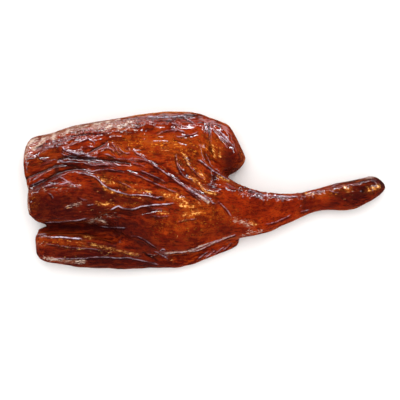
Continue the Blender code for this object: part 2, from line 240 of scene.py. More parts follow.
# Creases without a ridge: depth and width (mm), and the path (pixels).
CREASES = [
    (0.8, 1.2, [(34, 150.5), (42, 147), (48, 144.5), (60, 140.5), (72, 137.5), (85, 136), (97, 136.5)]),
    (0.7, 1.1, [(68, 147), (74, 144), (80, 141), (88, 139.5)]),
    (0.9, 1.2, [(90, 154), (96, 150.5), (103, 147), (110, 142.5)]),
    (1.0, 1.3, [(58, 162), (66, 159), (74, 157.2), (84, 159), (100, 160.3), (115, 162.3),
        (135, 164.5)]),
    (0.9, 1.2, [(25, 181), (35, 176), (42, 173.5), (50, 170), (62, 166), (75, 166.5), (84, 168)]),
    (0.9, 1.6, [(55, 172), (60, 170), (64, 168.5)]),
    (1.0, 1.3, [(31, 187), (38, 185), (45, 182), (52, 178.5), (58, 175), (66, 172), (74, 170),
        (84, 169.5), (92, 171)]),
    (1.0, 1.4, [(214, 174.5), (215, 179), (213, 183)]),
    (0.6, 0.8, [(208.4, 122), (208.3, 130), (208.8, 138), (209.5, 150), (210.5, 159)]),
    (0.6, 1.2, [(168, 121), (178, 119), (188, 115.5), (200, 116.5)]),
    (0.7, 1.1, [(141, 250), (147, 254), (154, 258), (160, 262)]),
    (0.7, 1.3, [(155, 199.5), (161, 198.5), (167, 195)]),
    (0.4, 0.9, [(302.5, 191), (303.7, 196), (303.2, 202)]),
    (0.4, 1, [(95, 219), (105, 215), (120, 213.5), (135, 214.5), (155, 210.5)]),
]

# Small lumps and dimples: height and radius (mm), and the place (pixels).
LUMPS = [
    (0.9, 5.0, (352, 199)), (0.9, 3.6, (368, 188)), (0.7, 3.0, (377, 186)), (0.7, 2.4, (357, 186)),
    (0.6, 4.5, (342, 189)), (-0.8, 2.6, (362, 191)), (0.5, 2.0, (371, 192)), (-0.6, 2.2, (347, 187)),
    (0.5, 1.6, (168, 198)), (0.5, 1.6, (176, 195)), (0.5, 1.5, (182, 198)), (0.5, 1.8, (185, 205)),
    (0.5, 1.6, (192, 206)), (0.5, 1.6, (201, 209)), (0.6, 2.2, (198, 213)), (0.5, 1.8, (163, 212)),
    (0.5, 1.8, (236, 220)), (0.5, 1.8, (245, 221.5)), (0.5, 1.8, (252, 222)), (0.6, 1.6, (38, 159.5)),
    (0.7, 2.0, (55, 151)), (0.5, 1.5, (129, 173.5)),
]

# Where the skin is pale with fat, and where sheen and highlights are painted on it as pale streaks
# (the top edge, the tendon's end, the apron's edge, the hock's top): strength, radius (pixels), and
# the path (pixels).
PALE = [
    (0.62, 4.2, [(28, 156), (29, 149), (31, 143), (37, 139.5)]),
    (0.60, 2.5, [(36, 149), (43, 143), (48, 139)]),
    (0.95, 3.0, [(27, 186), (26, 198), (26.5, 205), (29, 213)]),
    (0.95, 2.2, [(30, 188), (30, 198), (30.5, 205), (32, 211)]),
    (0.65, 3.4, [(46, 137), (64, 131), (80, 125.5), (96, 121.5), (112, 119)]),
    (0.50, 7.0, [(56, 135), (80, 129), (100, 125.5), (130, 123)]),
    (0.95, 1.6, [(44, 138), (50, 137.5), (57, 138.5)]),
    (0.80, 1.5, [(60, 133), (70, 130.5), (78, 127)]),
    (0.35, 3.0, [(38, 244), (46, 243.5)]),
    (0.50, 3.0, [(46, 257), (60, 260), (72, 261), (86, 261)]),
    (0.30, 3.5, [(48, 190), (64, 190), (76, 187), (82, 184)]),
    (0.45, 2.6, [(70, 207), (84, 203)]),
    (0.55, 1.3, [(166, 252.3), (178, 251.3), (186, 251), (196, 247.5), (204, 244), (214, 241),
        (231, 235.5)]),
    (0.50, 1.1, [(190, 250.7), (199, 249.5), (206, 246), (213, 242.5)]),
    (0.14, 5.0, [(206, 254), (218, 249), (230, 243)]),
    (0.25, 3.0, [(152, 255), (160, 254), (166, 257)]),
    (0.42, 4.0, [(234, 219), (242, 222), (250, 226)]),
    (0.25, 4.0, [(104, 215), (124, 216)]),
    (0.50, 2.8, [(90, 222), (98, 220), (106, 223)]),
    (0.14, 3.0, [(44, 184), (60, 182), (74, 184), (84, 187)]),
    (0.28, 7.0, [(110, 131), (123, 130), (136, 129)]),
    (0.80, 1.4, [(199, 195.5), (204, 199.5), (208, 202)]),
    (0.35, 4.0, [(241, 238), (250, 233), (260, 231)]),
    (0.60, 1.6, [(345, 181.5), (355, 179.5), (365, 178.5), (374, 177.5)]),
]

# Where it is amber, likewise. The thin strokes under the folds paint orange light there, and
# painted warm glints gather in these places.
AMBER = [
    (0.80, 9.0, [(118, 148), (135, 146), (152, 146), (175, 147)]),
    (0.90, 9.0, [(183, 150), (198, 148), (214, 148)]),
    (0.40, 8.0, [(36, 156), (46, 158), (56, 156)]),
    (0.45, 5.0, [(36, 192), (38, 205)]),
    (0.90, 1.5, [(103, 183), (108, 189), (116, 193), (125, 195.5), (140, 197.5), (152, 198)]),
    (0.90, 1.6, [(104, 204), (118, 204.5), (130, 205), (142, 204)]),
    (0.70, 6.0, [(166, 195), (178, 198), (188, 205), (199, 212)]),
    (0.60, 3.5, [(183, 215), (200, 213)]),
    (0.50, 5.0, [(42, 240), (60, 241), (84, 243)]),
    (0.70, 3.0, [(308, 195), (325, 194), (348, 189)]),
    (0.60, 3.5, [(331, 191), (347, 189)]),
    (0.90, 3.0, [(368, 190), (377, 188)]),
    (0.80, 1.6, [(213, 150), (214, 158)]),
    (0.80, 1.6, [(219, 150), (219.5, 158)]),
    (0.70, 2.0, [(190, 178), (203, 189), (215, 194)]),
    (0.85, 2.2, [(134, 115.5), (150, 113.5), (175, 111.5), (198, 111.5)]),
    (0.70, 2.2, [(240, 152), (243, 160), (240, 166)]),
    (0.50, 5.0, [(100, 178), (115, 181), (130, 186)]),
    (0.28, 12.0, [(165, 222), (188, 226), (206, 222)]),
    (0.50, 6.0, [(208, 146), (216, 152)]),
    (0.60, 5.0, [(180, 160), (192, 168), (206, 180)]),
    (0.30, 9.0, [(204, 208), (218, 213), (232, 217)]),
]

# Where it is charred, at the hock, and where shade is painted: in the valley, under the folds
# and on the lower sides, likewise.
DARK = [
    (0.95, 5.5, [(44, 227), (60, 227), (90, 227), (118, 229), (132, 231)]),
    (0.72, 15.0, [(42, 203), (65, 204), (95, 205)]),
    (0.68, 12.0, [(50, 252), (80, 254), (120, 258), (150, 262)]),
    (0.75, 5.0, [(98, 190), (112, 198), (130, 201), (150, 201)]),
    (0.40, 13.0, [(40, 165), (62, 162), (90, 166), (110, 175)]),
    (0.25, 8.0, [(225, 226), (205, 236), (180, 242)]),
    (0.85, 10.0, [(95, 224), (120, 224), (140, 227), (146, 240)]),
    (0.55, 7.0, [(45, 214), (70, 213), (95, 212)]),
    (0.60, 4.0, [(35, 188), (48, 185), (62, 176)]),
    (0.85, 8.0, [(228, 156), (229, 168)]),
    (0.85, 12.0, [(340, 196), (352, 196), (366, 190), (381, 184)]),
    (0.55, 4.0, [(300, 210), (318, 206), (335, 205)]),
    (0.60, 5.0, [(70, 264), (100, 262), (140, 264), (168, 264)]),
    (0.45, 5.0, [(217, 232), (230, 231), (243, 230)]),
    (0.60, 3.0, [(176, 119), (188, 116), (200, 117)]),
    (0.62, 5.0, [(100, 209), (120, 212), (150, 211)]),
    (0.28, 12.0, [(106, 203), (130, 206), (155, 207), (180, 206)]),
    (0.40, 9.0, [(96, 247), (125, 254), (150, 247), (185, 245)]),
    (0.40, 5.0, [(122, 234), (140, 240), (156, 248), (168, 254)]),
    (0.60, 3.0, [(214, 176), (214, 181), (212, 185)]),
    (0.60, 2.5, [(303, 194), (304, 200), (303.5, 208)]),
]

# Where warm orange highlights and glints are painted on it, likewise.
WARM_HIGHLIGHTS = [
    (0.90, 1.1, [(190, 178), (195, 180.5), (199, 184), (203, 189.5), (208, 192.5), (215, 194)]),
    (0.80, 1.1, [(200, 174), (203, 177), (204.5, 180.5)]),
    (0.60, 1.0, [(184, 155), (187, 160), (189, 165)]),
    (0.75, 1.0, [(212.5, 147), (213, 152), (214, 157)]),
    (0.75, 1.0, [(219, 150), (219.5, 157)]),
    (0.80, 1.1, [(218, 176.5), (223, 179), (228, 181.5)]),
    (0.75, 1.2, [(105, 181), (110, 182), (116, 183.5)]),
    (0.70, 1.0, [(106, 187), (110, 190), (116, 192.5)]),
    (0.60, 1.1, [(135, 191), (145, 191), (152, 192)]),
    (0.80, 1.4, [(166, 195), (172, 196), (178, 195.5)]),
    (0.80, 1.2, [(180, 198), (184, 200), (187, 203)]),
    (0.85, 1.3, [(180, 205), (187, 206), (193, 206.5)]),
    (0.60, 1.3, [(160, 212), (168, 213)]),
    (0.60, 1.5, [(185, 214), (200, 212)]),
    (0.70, 1.1, [(86, 236), (92, 237.5)]),
    (0.55, 1.1, [(92, 243.5), (102, 246), (114, 249), (126, 252), (138, 254.5)]),
    (0.60, 1.0, [(99, 202.5), (104, 204), (112, 204.5)]),
    (0.80, 1.5, [(344.5, 187), (348, 190.5)]),
    (0.90, 1.7, [(368, 189.5), (373, 188), (378, 186.5)]),
    (0.60, 1.2, [(306, 193.5), (312, 193.5)]),
    (0.50, 1.6, [(250, 222), (255, 224.5)]),
    (0.55, 1.7, [(132, 115.5), (150, 113.2), (175, 111.2), (198, 111.5)]),
    (0.40, 1.5, [(222, 121.5), (231, 126.5), (238, 134)]),
    (0.40, 1.5, [(241.5, 143), (246, 153), (245.5, 160)]),
]

# Where its glaze is dull, likewise.
DULL = [
    (0.85, 5.0, [(44, 227), (80, 227), (105, 230), (118, 233), (124, 238)]),
    (0.60, 4.0, [(84, 214), (110, 213), (130, 216)]),
    (0.50, 5.0, [(190, 260), (210, 254), (228, 246)]),
    (0.90, 3.0, [(202, 184.5), (212, 185), (220, 189)]),
    (0.80, 3.0, [(222, 184), (228, 187.5), (236, 190)]),
    (0.70, 4.5, [(42, 186), (52, 184), (62, 184), (74, 186)]),
    (0.70, 4.5, [(160, 123), (180, 122), (196, 123)]),
    (0.35, 13.0, [(46, 180), (66, 172), (84, 166), (98, 158)]),
    (0.40, 7.0, [(108, 206), (132, 207), (158, 207)]),
]

# Where it is drawn tight and smooth, likewise.
TAUT = [
    (0.85, 15.0, [(150, 234), (175, 232), (200, 227), (225, 220)]),
    (0.90, 15.0, [(240, 208), (265, 209), (290, 205), (320, 199)]),
    (0.60, 12.0, [(45, 200), (65, 198), (85, 200)]),
    (0.50, 8.0, [(60, 248), (90, 252)]),
    (0.60, 12.0, [(228, 150), (230, 162)]),
]


def place(pixel):
    """A pixel of the picture as x and y in metres."""
    return ((pixel[0] - LEG_MIDDLE[0]) * PIXEL, (LEG_MIDDLE[1] - pixel[1]) * PIXEL)


def smoothstep(low, high, value):
    """0 on low's side, 1 on high's side, and a soft step between."""
    t = np.clip((value - low) / (high - low), 0, 1)
    return t * t * (3 - 2 * t)


def smooth_path(path, step):
    """A curve through the path's pixels, as closely spaced points in metres."""
    knots = [Vector(place(p)) for p in path]
    knots = [2 * knots[0] - knots[1]] + knots + [2 * knots[-1] - knots[-2]]
    found = []
    for a, b, c, d in zip(knots, knots[1:], knots[2:], knots[3:]):
        for t in np.arange(0, 1, step / max((c - b).length, step)):
            bend = (2 * a - 5 * b + 4 * c - d) * t * t + (3 * b - a - 3 * c + d) * t**3
            found.append(0.5 * (2 * b + (c - a) * t + bend))
    found.append(knots[-2])
    return np.array(found)


def near_path(points, path, reach, step=0.8 * MM):
    """The points within reach of a path: their indices, signed distances and distance from its ends."""
    line = smooth_path(path, step)
    low, high = line.min(axis=0) - reach, line.max(axis=0) + reach
    inside = np.nonzero(((points[:, :2] > low) & (points[:, :2] < high)).all(axis=1))[0]
    gaps = points[inside, None, :2] - line[None]
    nearest = np.argmin((gaps**2).sum(axis=2), axis=1)
    heading = np.gradient(line, axis=0)[nearest]
    gap = gaps[np.arange(len(inside)), nearest]
    side = np.sign(heading[:, 0] * gap[:, 1] - heading[:, 1] * gap[:, 0])
    inset = step * np.minimum(nearest, len(line) - 1 - nearest)
    return inside, side * np.hypot(gap[:, 0], gap[:, 1]), inset


def uneven(points, size, seed):
    """Slow noise with lumps of about size millimetres."""
    shift = Vector([seed * step for step in SEED_STEP])
    scale = 1 / (size * MM)
    return np.array([noise.noise(Vector(p) * scale + shift) for p in points])


def drawn_relief(points):
    """How far the drawn folds, creases and lumps stand out of the skin at each point, in mm."""
    height = np.zeros(len(points))
    ragged = 1 + RAGGED * uneven(points, *RAGGED_NOISE)
    sway = SWAY * uneven(points, *SWAY_NOISE)
    for ridge, crease, width, _, path in FOLDS:
        inside, distance, inset = near_path(points, path, FOLD_SPREAD * width * MM)
        across = (distance + sway[inside]) / (width * MM)
        share = 1.0 if width > SWELL_WIDTH else FOLD_SHARE
        crest = ridge * ragged[inside] * np.exp(-(across**2))
        groove = crease * np.exp(-(((across + CREASE_GAP) / CREASE_WIDTH) ** 2))
        height[inside] += share * smoothstep(0, STROKE_END, inset) * (crest - groove)
    for depth, width, path in CREASES:
        inside, distance, inset = near_path(points, path, CREASE_SPREAD * width * MM)
        across = (distance + sway[inside]) / (width * MM)
        height[inside] -= smoothstep(0, STROKE_END, inset) * depth * np.exp(-(across**2))
    for rise, radius, spot in LUMPS:
        gap = np.hypot(*(points[:, :2] - place(spot)).T) / (radius * MM)
        height += rise * np.exp(-(gap**2))
    return height


def nearest_folds(points):
    """Each point's signed distance (pixels) from the nearest fold, its presence and painted sheen."""
    side = np.full(len(points), FOLD_REACH)
    present, sheen = np.zeros(len(points)), np.zeros(len(points))
    for _, _, width, highlight_strength, path in FOLDS:
        if width > SWELL_WIDTH:
            continue
        inside, distance, inset = near_path(points, path, FOLD_REACH * PIXEL)
        closer = np.abs(distance) < np.abs(side[inside]) * PIXEL
        chosen = inside[closer]
        side[chosen] = distance[closer] / PIXEL
        fading = smoothstep(FOLD_GONE, FOLD_FADE, abs(side[chosen]))
        present[chosen] = smoothstep(0, STROKE_END, inset[closer]) * fading
        sheen[chosen] = SHEEN_SHARE * highlight_strength**SHEEN_POWER * present[chosen]
    return side, present, sheen


def painted(points, strokes):
    """How strongly a tint's strokes cover each point, from 0 to 1."""
    clear = np.ones(len(points))
    for strength, radius, path in strokes:
        inside, distance, _ = near_path(points, path, PAINT_SPREAD * radius * PIXEL)
        clear[inside] *= 1 - strength * np.exp(-((distance / (radius * PIXEL)) ** 2))
    return 1 - clear


# The skin's stretch, worked out in cells of GRID_STEP pixels over the leg's part of the picture.
GRID_STEP = 4
GRID_LEFT, GRID_TOP, GRID_RIGHT, GRID_BOTTOM = 12, 100, 400, 284
GRID_ROUNDS = 2500

# Where no fold pulls, the skin is stretched along the leg this much. A fold's pull softens with the
# square of its distance (pixels) plus this.
LEVEL_PULL, PULL_SOFTNESS = 0.02, 20.0

# How much of a cell's old level a round keeps, and how much comes from its neighbours.
KEPT, TAKEN = 0.1, 0.9


def stretch_angles(xs, ys):
    """The direction that the folds pull the skin in, at each cell."""
    gx, gy = np.meshgrid(xs, ys)
    cosine, sine = LEVEL_PULL * np.ones(gx.shape), np.zeros(gx.shape)
    for *_, path in FOLDS + CREASES:
        for (ax, ay), (bx, by) in zip(path, path[1:]):
            double = 2 * math.atan2(by - ay, bx - ax)
            gap = (gx - (ax + bx) / 2) ** 2 + (gy - (ay + by) / 2) ** 2
            weight = math.hypot(bx - ax, by - ay) / (gap + PULL_SOFTNESS) ** 1.5
            cosine += weight * math.cos(double)
            sine += weight * math.sin(double)
    return 0.5 * np.arctan2(sine, cosine)


def climb(start, right, down):
    """The grid whose steps to the right and down come closest to the given ones."""
    level = start.copy()
    neighbours = 4.0 * np.ones(start.shape)
    for edge in (0, -1):
        neighbours[edge] -= 1
        neighbours[:, edge] -= 1
    right, down = (right[:, 1:] + right[:, :-1]) / 2, (down[1:] + down[:-1]) / 2
    for _ in range(GRID_ROUNDS):
        total = np.zeros(start.shape)
        total[:, 1:] += level[:, :-1] + right
        total[:, :-1] += level[:, 1:] - right
        total[1:] += level[:-1] + down
        total[:-1] += level[1:] - down
        level = KEPT * level + TAKEN * total / neighbours
    return level


def stretch_grids():
    """How far along and across the stretch each cell lies, in pixels."""
    xs = np.arange(GRID_LEFT, GRID_RIGHT + GRID_STEP, GRID_STEP, dtype=float)
    ys = np.arange(GRID_TOP, GRID_BOTTOM + GRID_STEP, GRID_STEP, dtype=float)
    angles = stretch_angles(xs, ys)
    cosine, sine = GRID_STEP * np.cos(angles), GRID_STEP * np.sin(angles)
    gx, gy = np.meshgrid(xs, ys)
    return climb(gx, cosine, sine), climb(gy, -sine, cosine)


def read_grid(grid, points):
    """A grid over the picture, read at each point's place."""
    column = ((points[:, 0] / PIXEL + LEG_MIDDLE[0]) - GRID_LEFT) / GRID_STEP
    row = ((LEG_MIDDLE[1] - points[:, 1] / PIXEL) - GRID_TOP) / GRID_STEP
    column = np.clip(column, 0, grid.shape[1] - 1.001)
    row = np.clip(row, 0, grid.shape[0] - 1.001)
    j, i = column.astype(int), row.astype(int)
    u, v = column - j, row - i
    upper = grid[i, j] * (1 - u) + grid[i, j + 1] * u
    lower = grid[i + 1, j] * (1 - u) + grid[i + 1, j + 1] * u
    return upper * (1 - v) + lower * v


def stretched(points):
    """Each point's place along the stretch, across it and upward, in pixels."""
    along, across = stretch_grids()
    return np.column_stack([read_grid(along, points), read_grid(across, points), points[:, 2] / PIXEL])


def strands(places, length, width, seed):
    """Sharp-crested wrinkles along the stretch, up to 1 high, of a length and width in pixels."""
    shrunk = places / np.array([length, width, width]) + seed * np.array(SEED_STEP)
    return 1 - 5 * np.abs([noise.noise(Vector(place)) for place in shrunk])


def mesh_arrays(mesh):
    """A mesh's points and its normals."""
    count = len(mesh.vertices)
    points, normals = np.empty(count * 3, np.float32), np.empty(count * 3, np.float32)
    mesh.vertices.foreach_get("co", points)
    mesh.vertices.foreach_get("normal", normals)
    return points.reshape(-1, 3).astype(float), normals.reshape(-1, 3).astype(float)


def with_modifiers(mesh, modifiers):
    """The mesh after some modifiers, each given as (kind, settings)."""
    obj = bpy.data.objects.new("worked", mesh)
    bpy.context.scene.collection.objects.link(obj)
    for kind, settings in modifiers:
        modifier = obj.modifiers.new(kind.lower(), kind)
        for name, value in settings.items():
            setattr(modifier, name, value)
    graph = bpy.context.evaluated_depsgraph_get()
    worked = bpy.data.meshes.new_from_object(obj.evaluated_get(graph))
    bpy.data.objects.remove(obj)
    bpy.data.meshes.remove(mesh)
    return worked


def fine_skin():
    """The frame's leg as an even, fine mesh without its facets."""
    return with_modifiers(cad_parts["goose_leg"].data.copy(), [
        ("REMESH", {"mode": "VOXEL", "voxel_size": VOXEL}),
        ("SMOOTH", {"factor": 0.5, "iterations": FACET_PASSES}),
    ])


def press_folds(mesh):
    """Moves the skin out and in by the drawn folds, its wrinkles and its own unevenness."""
    points, normals = mesh_arrays(mesh)
    up = smoothstep(0.0, 0.35, normals[:, 2])
    height = up * drawn_relief(points)
    places, loose = stretched(points), 1 - painted(points, TAUT)
    wrinkles = sum(rise * strands(places, *form) for rise, *form in WRINKLES)
    height += up * loose * wrinkles
    height += sum(rise * uneven(points, *form) for rise, *form in UNEVENNESS)
    points += normals * (height * MM)[:, None]
    points[:, 2] = np.maximum(points[:, 2], leg_low.z)
    mesh.vertices.foreach_set("co", points.astype(np.float32).ravel())
    mesh.update()


def fit_to_frame(mesh):
    """Brings the skin back to the frame's own box."""
    points, _ = mesh_arrays(mesh)
    low, high = points.min(axis=0), points.max(axis=0)
    points = np.array(leg_low) + (points - low) / (high - low) * np.array(leg_high - leg_low)
    mesh.vertices.foreach_set("co", points.astype(np.float32).ravel())
    mesh.update()


def tint_skin(mesh):
    """Keeps on the mesh what its material reads: the tints, the nearest fold and the stretch."""
    points, normals = mesh_arrays(mesh)
    upward = normals[:, 2]
    up = smoothstep(-0.3, 0.2, upward)
    side, present, sheen = nearest_folds(points)
    tints = {
        # Pale fat, and painted sheen.
        "pale": up * painted(points, PALE),
        "amber": up * painted(points, AMBER),
        # Char at the hock, and painted shade.
        "dark": painted(points, DARK),
        # Painted warm highlights.
        "glow": up * painted(points, WARM_HIGHLIGHTS),
        # Painted shade, where the drawn relief sinks into a crease.
        "hollow": up * smoothstep(0.05, 0.8, -drawn_relief(points)),
        "loose": 1 - painted(points, TAUT),
        "dull": painted(points, DULL),
        "under": 1 - smoothstep(-0.5, 0.1, upward),
        # Steep sides: light is painted on them, and their glaze is duller.
        "wall": smoothstep(0.55, 0.15, upward),
        "fold_side": side,
        "fold": up * present,
        # How bright the highlight painted on the nearest fold crest is.
        "sheen": up * sheen,
    }
    for name, values in tints.items():
        kept = mesh.attributes.new(name, "FLOAT", "POINT")
        kept.data.foreach_set("value", values.astype(np.float32))
    places = mesh.attributes.new("stretch", "FLOAT_VECTOR", "POINT")
    places.data.foreach_set("vector", stretched(points).astype(np.float32).ravel())


class Wire:
    """One output of a material's nodes. Arithmetic on wires adds Math nodes."""

    def __init__(self, tree, socket=None):
        self.tree, self.socket = tree, socket

    def make(self, kind, settings=None, inputs=None, output=0):
        """Adds a node: its settings first, then the values or wires of its sockets."""
        node = self.tree.nodes.new(kind)
        for name, value in (settings or {}).items():
            setattr(node, name, value)
        for name, value in (inputs or {}).items():
            if isinstance(value, Wire):
                self.tree.links.new(value.socket, node.inputs[name])
            else:
                node.inputs[name].default_value = value
        return Wire(self.tree, node.outputs[output]) if len(node.outputs) else node

    def maths(self, operation, first, second):
        """A Math node on two wires or numbers."""
        return self.make("ShaderNodeMath", {"operation": operation}, {0: first, 1: second})

    def __add__(self, other):
        return self.maths("ADD", self, other)

    def __radd__(self, other):
        return self.maths("ADD", other, self)

    def __sub__(self, other):
        return self.maths("SUBTRACT", self, other)

    def __rsub__(self, other):
        return self.maths("SUBTRACT", other, self)

    def __mul__(self, other):
        return self.maths("MULTIPLY", self, other)

    def __rmul__(self, other):
        return self.maths("MULTIPLY", other, self)

    def clear_of(self, low, high):
        """0 on low's side, 1 on high's side, and a soft step between."""
        settings = {"interpolation_type": "SMOOTHSTEP"}
        return self.make("ShaderNodeMapRange", settings, {"Value": self, "From Min": low, "From Max": high})

    def mixed(self, base, other):
        """Two colours mixed by this wire."""
        return self.make("ShaderNodeMix", {"data_type": "RGBA"}, {0: self, 6: base, 7: other}, output=2)


def seen(red, green, blue):
    """A colour as it looks in the picture, 0 to 255, in linear light."""
    channels = [c / 255 for c in (red, green, blue)]
    return [c / 12.92 if c <= 0.04045 else ((c + 0.055) / 1.055) ** 2.4 for c in channels] + [1.0]


# The skin's colours.
MAHOGANY, CHESTNUT = seen(90, 16, 5), seen(140, 36, 8)
DARK_BLOTCH, LIGHT_BLOTCH = seen(80, 13, 6), seen(160, 50, 12)
DARK_STREAK, LIGHT_STREAK = seen(54, 12, 6), seen(152, 52, 11)
LIGHT_MOTTLE = seen(158, 56, 11)
# Amber skin, also laid as painted orange light under some folds.
AMBER_SKIN_AND_GLOW = seen(158, 66, 13)
UNDERSIDE = seen(84, 34, 12)
# Painted light on the steep sides, which the lamps leave dark at the outline.
PAINTED_WALL_LIGHT_DEEP, PAINTED_WALL_LIGHT_BRIGHT = seen(116, 40, 16), seen(178, 84, 38)
# Char, and painted shade in the valley, under the folds and on the lower sides.
CHAR_AND_SHADE = seen(42, 9, 10)
# Painted shade: deep in the creases, and finer in the groove beside each fold crest.
CREASE_SHADE, GROOVE_SHADE = seen(26, 8, 7), seen(38, 8, 11)
DARK_THREAD, DARK_SPECK = seen(40, 9, 6), seen(36, 9, 5)
# Fat tones, which also paint sheen on the top edge, the tendon's end, the apron's edge and the hock.
BROWNED_FAT_AND_SHEEN, PALE_FAT_AND_SHEEN = seen(146, 88, 66), seen(226, 204, 186)
# Painted warm glints in the amber places.
GLINT = seen(240, 136, 40)
# Painted warm highlights, with a brighter core.
WARM_HIGHLIGHT_TONE, WARM_HIGHLIGHT_CORE = seen(240, 128, 38), seen(255, 206, 120)
# A painted highlight along the fold crests.
CREST_HIGHLIGHT = seen(214, 204, 224)

# The glaze over the skin.
GLAZE_IOR = 1.45
GLAZE_ROUGHNESS = 0.04
WALL_DULLNESS = 0.75

# The material's fold lines, by their distance from the drawn fold (pixels): how far the noises shift
# them, and where the groove lies beside the crest.
THREAD_SHIFT, MOTTLE_SHIFT, MEAN_SHIFT = 1.3, 1.2, 1.25
GROOVE_GAP = 1.5

# What tint_skin() keeps for the material, apart from the stretch.
TINTS = (
    "pale", "amber", "dark", "glow", "hollow", "loose", "dull", "under", "wall",
    "fold_side", "fold", "sheen",
)


def skin_wires(start):
    """What the skin's colour and relief are made from: tints, noises and fold lines, by name."""
    where = start.make("ShaderNodeTexCoord", output=3)
    stretch = start.make("ShaderNodeAttribute", {"attribute_name": "stretch"}, output=1)

    def cloud(scale, detail, roughness):
        """Noise that is alike in every direction."""
        sockets = {"Vector": where, "Scale": scale, "Detail": detail, "Roughness": roughness}
        return start.make("ShaderNodeTexNoise", None, sockets)

    def strand(length, width, detail, roughness):
        """Noise drawn out along the skin's stretch, of a length and width in pixels."""
        drawn = start.make("ShaderNodeMapping", {"vector_type": "TEXTURE"},
                           {"Vector": stretch, "Scale": (length, width, width)})
        sockets = {"Vector": drawn, "Scale": 1.0, "Detail": detail, "Roughness": roughness}
        return start.make("ShaderNodeTexNoise", None, sockets)

    skin = SimpleNamespace()
    for name in TINTS:
        setattr(skin, name, start.make("ShaderNodeAttribute", {"attribute_name": name}, output=2))
    skin.patches = cloud(30.0, 4.0, 0.55)
    skin.blotches = cloud(85.0, 3.0, 0.6)
    skin.mottle = cloud(170.0, 5.0, 0.65)
    skin.specks = cloud(520.0, 3.0, 0.6)
    skin.pores = cloud(900.0, 3.0, 0.6)
    skin.streaks = strand(13, 2.8, 3.0, 0.6)
    skin.wrinkles = strand(6, 1.4, 4.0, 0.65)
    skin.threads = strand(5, 0.9, 3.0, 0.6)
    waver = skin.fold_side + THREAD_SHIFT * skin.threads + MOTTLE_SHIFT * skin.mottle - MEAN_SHIFT
    beside = waver + GROOVE_GAP
    # The crest line, which bears a painted highlight as well as its bump.
    skin.crest = skin.fold * (waver * waver - 0.3 * skin.sheen).clear_of(0.5, 0.0)
    # Beside the crest: a groove in the bump, and a line of painted shade.
    skin.groove = skin.fold * (beside * beside).clear_of(0.9, 0.05)
    # Streaks of pale fat, and of painted sheen.
    fat_and_sheen_streaking = (skin.pale + 1.8 * skin.threads - 0.9).clear_of(0.3, 0.66)
    skin.rubbed = skin.pale.clear_of(0.03, 0.2) * fat_and_sheen_streaking * (1 - 0.6 * skin.wall)
    return skin


def skin_colour(skin):
    """The skin's colours in layers, from the mahogany ground to the highlights painted on crests."""
    swing = 0.85 * (0.2 + 0.8 * skin.loose)
    wall_light_mottle = (0.5 * skin.blotches + 0.5 * skin.streaks).clear_of(0.44, 0.56)
    broken = 0.12 + 0.88 * (0.6 * skin.streaks + 0.4 * skin.specks).clear_of(0.43, 0.56)
    coarse = skin.threads.clear_of(0.54, 0.62)
    warm_highlight_breakup = 0.15 + 0.85 * (0.5 * skin.threads + 0.5 * skin.specks).clear_of(0.46, 0.56)
    fat_and_sheen_tone = skin.mottle.clear_of(0.42, 0.64).mixed(BROWNED_FAT_AND_SHEEN, PALE_FAT_AND_SHEEN)
    colour = skin.patches.clear_of(0.36, 0.64).mixed(MAHOGANY, CHESTNUT)
    for cover, tone in (
        (0.4 * skin.blotches.clear_of(0.48, 0.36), DARK_BLOTCH),
        (0.5 * skin.blotches.clear_of(0.54, 0.68), LIGHT_BLOTCH),
        (swing * skin.streaks.clear_of(0.5, 0.64), LIGHT_STREAK),
        (swing * skin.streaks.clear_of(0.5, 0.36), DARK_STREAK),
        (0.45 * skin.mottle.clear_of(0.5, 0.66), LIGHT_MOTTLE),
        # Amber skin, with painted orange light under some folds.
        (skin.amber * (0.2 + 0.8 * skin.mottle.clear_of(0.44, 0.6)), AMBER_SKIN_AND_GLOW),
        (0.55 * skin.under, UNDERSIDE),
        # Painted light on the steep sides.
        (0.72 * skin.wall, wall_light_mottle.mixed(PAINTED_WALL_LIGHT_DEEP, PAINTED_WALL_LIGHT_BRIGHT)),
        # Char, and painted shade.
        (skin.dark * (0.75 + 0.25 * skin.mottle.clear_of(0.35, 0.6)), CHAR_AND_SHADE),
        # Painted shade in the creases.
        (0.85 * skin.hollow, CREASE_SHADE),
        # Painted shade in the groove beside each fold crest.
        (0.62 * skin.groove, GROOVE_SHADE),
        (0.65 * coarse, DARK_THREAD),
        (0.4 * skin.specks.clear_of(0.58, 0.68), DARK_SPECK),
        # Pale fat, and painted sheen.
        (0.85 * skin.rubbed, fat_and_sheen_tone),
        # Painted warm glints.
        (0.9 * (skin.amber * coarse * skin.specks.clear_of(0.48, 0.58)), GLINT),
        # Painted warm highlights, with brighter cores.
        (skin.glow * warm_highlight_breakup, WARM_HIGHLIGHT_TONE),
        (skin.glow * (skin.threads * skin.specks).clear_of(0.25, 0.33), WARM_HIGHLIGHT_CORE),
        # Painted highlight along the fold crests.
        (skin.sheen * skin.crest * broken, CREST_HIGHLIGHT),
    ):
        colour = cover.mixed(colour, tone)
    return colour


def skin_relief(start, skin):
    """The relief that is finer than the mesh: wrinkles, then the fold lines, then the pores."""
    relief = start.make("ShaderNodeBump", None, {
        "Strength": 0.3 + 0.7 * skin.amber, "Distance": 0.4 * MM, "Height": skin.wrinkles,
    })
    relief = start.make("ShaderNodeBump", None, {
        "Strength": 1.0, "Distance": 0.35 * MM, "Height": skin.crest - 0.4 * skin.groove, "Normal": relief,
    })
    return start.make("ShaderNodeBump", None, {
        "Strength": 0.25 + 0.6 * skin.amber, "Distance": 0.2 * MM, "Height": skin.pores, "Normal": relief,
    })


